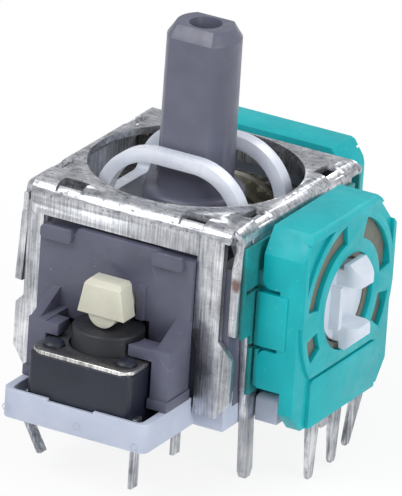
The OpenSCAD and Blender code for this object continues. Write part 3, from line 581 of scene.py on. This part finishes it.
# %% [markdown]
# ## Dressing the CAD pieces
# A CAD solid has perfectly sharp edges, which no real moulding or punched sheet has, and an edge that
# catches the light is what tells the eye how big a thing is. We copy each solid, join its loose
# triangles, and cut a tiny round along every edge with the Bevel modifier. The copy then stands for
# the solid. The modifier's result is turned into a plain mesh before the piece is handed to its body.
# On the frame the rounded strip has a lighter finish of its own: partly steel rubbed bright along its
# edges, and partly a painted highlight there.

# %% Round the edges
SHARP, SAME_FACE, SMOOTH = (math.radians(a) for a in (28, 0.4, 40))


def plain_mesh(piece):
    """Returns the mesh that an object's modifiers make."""
    graph = bpy.context.evaluated_depsgraph_get()
    return bpy.data.meshes.new_from_object(piece.evaluated_get(graph), depsgraph=graph)


def rounded_copy(node, radius_mm, segments, finishes):
    """Returns a new piece with the node's shape and rounded edges. A second finish goes on them."""
    joined = bmesh.new()
    joined.from_mesh(frame["nodes"][node].data)
    bmesh.ops.remove_doubles(joined, verts=joined.verts, dist=1e-6)
    bmesh.ops.dissolve_limit(joined, angle_limit=SAME_FACE, verts=joined.verts, edges=joined.edges)
    mesh = bpy.data.meshes.new(node + "_dressed")
    joined.to_mesh(mesh)
    joined.free()
    mesh.materials.clear()
    for finish in finishes:
        mesh.materials.append(finish)
    piece = bpy.data.objects.new(node + "_dressed", mesh)
    bpy.context.collection.objects.link(piece)
    edge = piece.modifiers.new("edges", "BEVEL")
    edge.width = radius_mm * MM
    edge.segments = segments
    edge.limit_method = "ANGLE"
    edge.angle_limit = SHARP
    edge.use_clamp_overlap = True
    edge.material = 1 if len(mesh.materials) > 1 else 0
    piece.data = plain_mesh(piece)
    piece.modifiers.clear()
    piece.data.polygons.foreach_set("use_smooth", [True] * len(piece.data.polygons))
    piece.data.set_sharp_from_angle(angle=SMOOTH)
    return piece


def dress(node, finish, radius_mm, segments=2, edge_finish=None):
    """Replaces a CAD node by its rounded copy, with another finish on its edges if one is given."""
    finishes = [finish, edge_finish] if edge_finish else [finish]
    piece = rounded_copy(node, radius_mm, segments, finishes)
    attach(piece, body_of[node])
    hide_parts(node)
    return piece


dress("frame", frame_steel, 0.05, edge_finish=rubbed_and_highlit_steel)
dress("base", base_plastic, 0.1, 3)
dress("inner_housing", housing_plastic, 0.12, 3)
dress("stick", dark_plastic, 0.05)
dress("pivot_pin", pin_steel, 0.08, 3)
dress("upper_arch", milky_plastic, 0.1, 3)
dress("lower_arm", cream_plastic, 0.13, 3)
dress("return_dish", rotor_plastic, 0.1, 3)
dress("switch_body", switch_plastic, 0.05)
dress("switch_cover", cover_steel, 0.04)
dress("switch_button", button_plastic, 0.06)
dress("switch_dome", pin_steel, 0.02)
dress("switch_pins", pin_steel, 0.05)
for side in ("right", "rear"):
    dress(side + "_pot_cover", teal_plastic, 0.06)
    dress(side + "_pot_board", board_laminate, 0.04)
    dress(side + "_pot_rotor", rotor_plastic, 0.08, 3)
    dress(side + "_pot_wiper", contact_brass, 0.02)
    dress(side + "_pot_pins", pin_steel, 0.05)

# %% [markdown]
# ## Small things that repeat
# The same small shape sits at several places: the tongues of metal that the press left in the fold
# slits, the melted rivet heads on the switch, and the round marks of the pins that pushed the base out
# of its mould. Each could be copied by hand. Geometry Nodes does it once: a mesh of bare points says
# where, each point carries its own turn about Z, and the tree puts the shape there.

# %% A tree that stamps a shape on points


def stamp_tree(name, sizes, build_shape):
    """A tree with named sizes that puts one shape on every point, turned by the point's angle."""
    tree = bpy.data.node_groups.new(name, "GeometryNodeTree")
    tree.interface.new_socket("Geometry", in_out="INPUT", socket_type="NodeSocketGeometry")
    for label in sizes:
        tree.interface.new_socket(label, in_out="INPUT", socket_type="NodeSocketFloat")
    tree.interface.new_socket("Finish", in_out="INPUT", socket_type="NodeSocketMaterial")
    tree.interface.new_socket("Geometry", in_out="OUTPUT", socket_type="NodeSocketGeometry")
    given, result = tree.nodes.new("NodeGroupInput"), tree.nodes.new("NodeGroupOutput")
    angle = tree.nodes.new("GeometryNodeInputNamedAttribute")
    turn = tree.nodes.new("ShaderNodeCombineXYZ")
    angle.data_type = "FLOAT"
    angle.inputs["Name"].default_value = "turn"
    stamp = tree.nodes.new("GeometryNodeInstanceOnPoints")
    real = tree.nodes.new("GeometryNodeRealizeInstances")
    paint = tree.nodes.new("GeometryNodeSetMaterial")
    tree.links.new(angle.outputs["Attribute"], turn.inputs["Z"])
    tree.links.new(given.outputs["Geometry"], stamp.inputs["Points"])
    tree.links.new(build_shape(tree, given), stamp.inputs["Instance"])
    tree.links.new(turn.outputs[0], stamp.inputs["Rotation"])
    tree.links.new(stamp.outputs[0], real.inputs[0])
    tree.links.new(real.outputs[0], paint.inputs["Geometry"])
    tree.links.new(given.outputs["Finish"], paint.inputs["Material"])
    tree.links.new(paint.outputs[0], result.inputs["Geometry"])
    return tree


def stamp_pieces(name, seats_mm, sizes_mm, build_shape, finish, body):
    """Makes one plain mesh with a shape at each seat (x, y, z, turn in degrees), riding on a body."""
    mesh = bpy.data.meshes.new(name + "_seats")
    mesh.from_pydata([Vector(seat[:3]) * MM for seat in seats_mm], [], [])
    turns = mesh.attributes.new("turn", "FLOAT", "POINT")
    turns.data.foreach_set("value", [math.radians(seat[3]) for seat in seats_mm])
    piece = bpy.data.objects.new(name, mesh)
    bpy.context.collection.objects.link(piece)
    modifier = piece.modifiers.new("stamp", "NODES")
    modifier.node_group = stamp_tree(name + "_tree", sizes_mm, build_shape)
    items = modifier.node_group.interface.items_tree
    sockets = {item.name: item.identifier for item in items if item.in_out == "INPUT"}
    for label, value in sizes_mm.items():
        modifier[sockets[label]] = value * MM
    modifier[sockets["Finish"]] = finish
    piece.data = plain_mesh(piece)
    piece.modifiers.clear()
    piece.data.polygons.foreach_set("use_smooth", [True] * len(piece.data.polygons))
    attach(piece, body)
    print(name, "faces:", len(piece.data.polygons))
    return piece


# %% [markdown]
# A tongue is a strip of sheet that follows the fold inside the slit. It is swept: an arc about the
# middle of the fold is the path, and a small rounded rectangle is the section. The folds lie a fold
# radius inside the frame's own box.

# %% Tongues in the fold slits


def tongue(tree, given):
    """A strip bent through an arc about the Y axis, from the wall upwards."""
    arc = tree.nodes.new("GeometryNodeCurveArc")
    arc.inputs["Sweep Angle"].default_value = math.radians(62)
    arc.inputs["Resolution"].default_value = 10
    section = tree.nodes.new("GeometryNodeCurvePrimitiveQuadrilateral")
    soften = tree.nodes.new("GeometryNodeFilletCurve")
    soften.mode = "POLY"
    soften.inputs["Count"].default_value = 3
    soften.inputs["Radius"].default_value = 0.07 * MM
    sweep, lift = tree.nodes.new("GeometryNodeCurveToMesh"), tree.nodes.new("GeometryNodeTransform")
    lift.inputs["Rotation"].default_value = (math.radians(90), 0, 0)
    tree.links.new(given.outputs["Bend Radius"], arc.inputs["Radius"])
    tree.links.new(given.outputs["Thickness"], section.inputs["Width"])
    tree.links.new(given.outputs["Tongue Width"], section.inputs["Height"])
    tree.links.new(section.outputs[0], soften.inputs["Curve"])
    tree.links.new(arc.outputs["Curve"], sweep.inputs["Curve"])
    tree.links.new(soften.outputs[0], sweep.inputs["Profile Curve"])
    sweep.inputs["Fill Caps"].default_value = True
    tree.links.new(sweep.outputs[0], lift.inputs["Geometry"])
    return lift.outputs[0]


FOLD_RADIUS = 0.8
SIDE_SLIT_Y, FRONT_SLIT_X = 3.95, (-3.93, 3.57)
frame_low, frame_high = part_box("frame")
outside = frame_high[X], -frame_low[Y], frame_high[Z]
fold_x, fold_y, fold_z = (side / MM - FOLD_RADIUS for side in outside)
slits = [(fold_x, y, fold_z, 0) for y in (-SIDE_SLIT_Y, SIDE_SLIT_Y)]
slits += [(-fold_x, y, fold_z, 180) for y in (-SIDE_SLIT_Y, SIDE_SLIT_Y)]
slits += [(x, -fold_y, fold_z, -90) for x in FRONT_SLIT_X]
tongue_sizes = {"Bend Radius": 0.6, "Thickness": 0.22, "Tongue Width": 1.42}
stamp_pieces("slit_tongues", slits, tongue_sizes, tongue, rubbed_and_highlit_steel, "root")

# %% [markdown]
# The switch's cover is held by four plastic studs, melted over with a hot tool. A short cone is
# smoothed by subdivision, which gives the low slumped dome that melting leaves.

# %% Melted studs on the switch


def melted_stud(tree, given):
    """A low dome with its middle at the point."""
    cone = tree.nodes.new("GeometryNodeMeshCone")
    smooth = tree.nodes.new("GeometryNodeSubdivisionSurface")
    cone.inputs["Vertices"].default_value = 12
    cone.inputs["Side Segments"].default_value = 3
    smooth.inputs["Level"].default_value = 2
    tree.links.new(given.outputs["Top Radius"], cone.inputs["Radius Top"])
    tree.links.new(given.outputs["Foot Radius"], cone.inputs["Radius Bottom"])
    tree.links.new(given.outputs["Height"], cone.inputs["Depth"])
    tree.links.new(cone.outputs["Mesh"], smooth.inputs["Mesh"])
    return smooth.outputs[0]


STUD_X, STUD_Y, STUD_LIFT = 2.2, 1.9, 0.04
cover_low, cover_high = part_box("switch_cover")
middle_x, middle_y = ((cover_low[axis] + cover_high[axis]) / 2 / MM for axis in (X, Y))
corners = [(x, y) for x in (-STUD_X, STUD_X) for y in (-STUD_Y, STUD_Y)]
stud_z = cover_high[Z] / MM + STUD_LIFT
studs = [(middle_x + x, middle_y + y, stud_z, 0) for x, y in corners]
stud_sizes = {"Top Radius": 0.42, "Foot Radius": 0.68, "Height": 0.24}
stamp_pieces("melted_studs", studs, stud_sizes, melted_stud, switch_plastic, "root")

# %% [markdown]
# An ejector pin leaves a shallow round scar. The photograph shows two on the front of the tray, under
# half a millimetre across, and this tray has a third between them. A thin ring is enough, because only
# its shadow shows.

# %% Marks of the mould


def ring_mark(tree, given):
    """A thin flat ring that faces -Y."""
    path, wire = (tree.nodes.new("GeometryNodeCurvePrimitiveCircle") for _ in range(2))
    path.inputs["Resolution"].default_value = 20
    wire.inputs["Resolution"].default_value = 6
    sweep, face = tree.nodes.new("GeometryNodeCurveToMesh"), tree.nodes.new("GeometryNodeTransform")
    face.inputs["Rotation"].default_value = (math.radians(90), 0, 0)
    tree.links.new(given.outputs["Ring Radius"], path.inputs["Radius"])
    tree.links.new(given.outputs["Ring Wire"], wire.inputs["Radius"])
    tree.links.new(path.outputs[0], sweep.inputs["Curve"])
    tree.links.new(wire.outputs[0], sweep.inputs["Profile Curve"])
    tree.links.new(sweep.outputs[0], face.inputs["Geometry"])
    return face.outputs[0]


tray_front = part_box("base")[0][Y] / MM
marks = [(x, tray_front, z, 0) for x, z in ((-4.1, 0.62), (0.2, 0.62), (3.75, 0.35))]
mark_sizes = {"Ring Radius": 0.2, "Ring Wire": 0.03}
stamp_pieces("mould_marks", marks, mark_sizes, ring_mark, base_plastic, "root")

# %% [markdown]
# The return spring is a coil between the dish and the stick's skirt. A spiral curve is the path and a
# small circle the section, so its turns, radius and height are plain numbers. Where it stands and how
# far it reaches come from the box of the CAD spring, which it replaces. When the dish is lifted the
# real coil shortens, but this piece only rides on the dish and keeps its length.

# %% Return spring


def coil(tree, given):
    """A coil of round wire that climbs from the point."""
    path = tree.nodes.new("GeometryNodeCurveSpiral")
    wire = tree.nodes.new("GeometryNodeCurvePrimitiveCircle")
    path.inputs["Resolution"].default_value = 36
    path.inputs["Rotations"].default_value = 5
    wire.inputs["Resolution"].default_value = 12
    sweep = tree.nodes.new("GeometryNodeCurveToMesh")
    sweep.inputs["Fill Caps"].default_value = True
    tree.links.new(given.outputs["Coil Radius"], path.inputs["Start Radius"])
    tree.links.new(given.outputs["Coil Radius"], path.inputs["End Radius"])
    tree.links.new(given.outputs["Climb"], path.inputs["Height"])
    tree.links.new(given.outputs["Wire Radius"], wire.inputs["Radius"])
    tree.links.new(path.outputs[0], sweep.inputs["Curve"])
    tree.links.new(wire.outputs[0], sweep.inputs["Profile Curve"])
    return sweep.outputs[0]


WIRE = 0.2
spring_low, spring_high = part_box("return_spring")
foot, head = spring_low[2] / MM, spring_high[2] / MM
reach = head - foot
coil_sizes = {"Coil Radius": spring_high[0] / MM - WIRE, "Climb": reach - 2 * WIRE, "Wire Radius": WIRE}
spring = stamp_pieces("return_spring_coil", [(0, 0, foot + WIRE, 0)], coil_sizes, coil, pin_steel, "dish")
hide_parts("return_spring")
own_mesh(spring)
print("spring from", round(foot, 2), "to", round(head, 2), "mm")

# %% [markdown]
# Two small forms close the frame's corners, and both are guesses. Upright ribs of the housing fill the
# rear corners above its walls, because without them the white ground shows through one of them. A web
# of steel joins the left strip to the front fold, over a black gap that the photograph doesn't have.

# %% Corner pieces


def rounded_prism(name, outline_mm, low_mm, high_mm, finish, radius_mm):
    """A prism on an outline of (x, y) points, with its edges rounded."""
    shape = bmesh.new()
    sole = shape.faces.new([shape.verts.new((x * MM, y * MM, low_mm * MM)) for x, y in outline_mm])
    grown = bmesh.ops.extrude_face_region(shape, geom=[sole])
    upper = [part for part in grown["geom"] if isinstance(part, bmesh.types.BMVert)]
    bmesh.ops.translate(shape, vec=(0, 0, (high_mm - low_mm) * MM), verts=upper)
    bmesh.ops.recalc_face_normals(shape, faces=shape.faces)
    round_mm = {"offset": radius_mm * MM, "segments": 2, "affect": "EDGES", "clamp_overlap": True}
    bmesh.ops.bevel(shape, geom=shape.edges[:], **round_mm)
    mesh = bpy.data.meshes.new(name)
    shape.to_mesh(mesh)
    shape.free()
    mesh.materials.append(finish)
    piece = bpy.data.objects.new(name, mesh)
    bpy.context.collection.objects.link(piece)
    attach(piece, "root")
    return piece


RIB_FOOT, RIB_TOP = 9.25, 11.15
rib = [(6.15, 6.0), (4.7, 6.0), (4.7, 5.4), (5.55, 5.4), (5.55, 4.6), (6.15, 4.6)]
web = [(-6.55, -7.0), (-6.25, -7.0), (-6.25, -6.4), (-6.55, -6.4)]
rounded_prism("rear_rib_left", [(-x, y) for x, y in rib], RIB_FOOT, RIB_TOP, housing_plastic, 0.08)
rounded_prism("rear_rib_right", rib, RIB_FOOT, RIB_TOP, housing_plastic, 0.08)
rounded_prism("corner_web_left", web, 9.7, 10.75, rubbed_and_highlit_steel, 0.05)
print("ribs from", RIB_FOOT, "to", RIB_TOP, "mm")

# %% [markdown]
# ## The last lines
# The box of what is shown is written beside the CAD box, so that the two can be compared.

# %% Finish
shown_low, shown_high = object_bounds()
shown_size = [round((high - low) / MM, 2) for low, high in zip(shown_low, shown_high)]
print("shown box in mm:", shown_size)
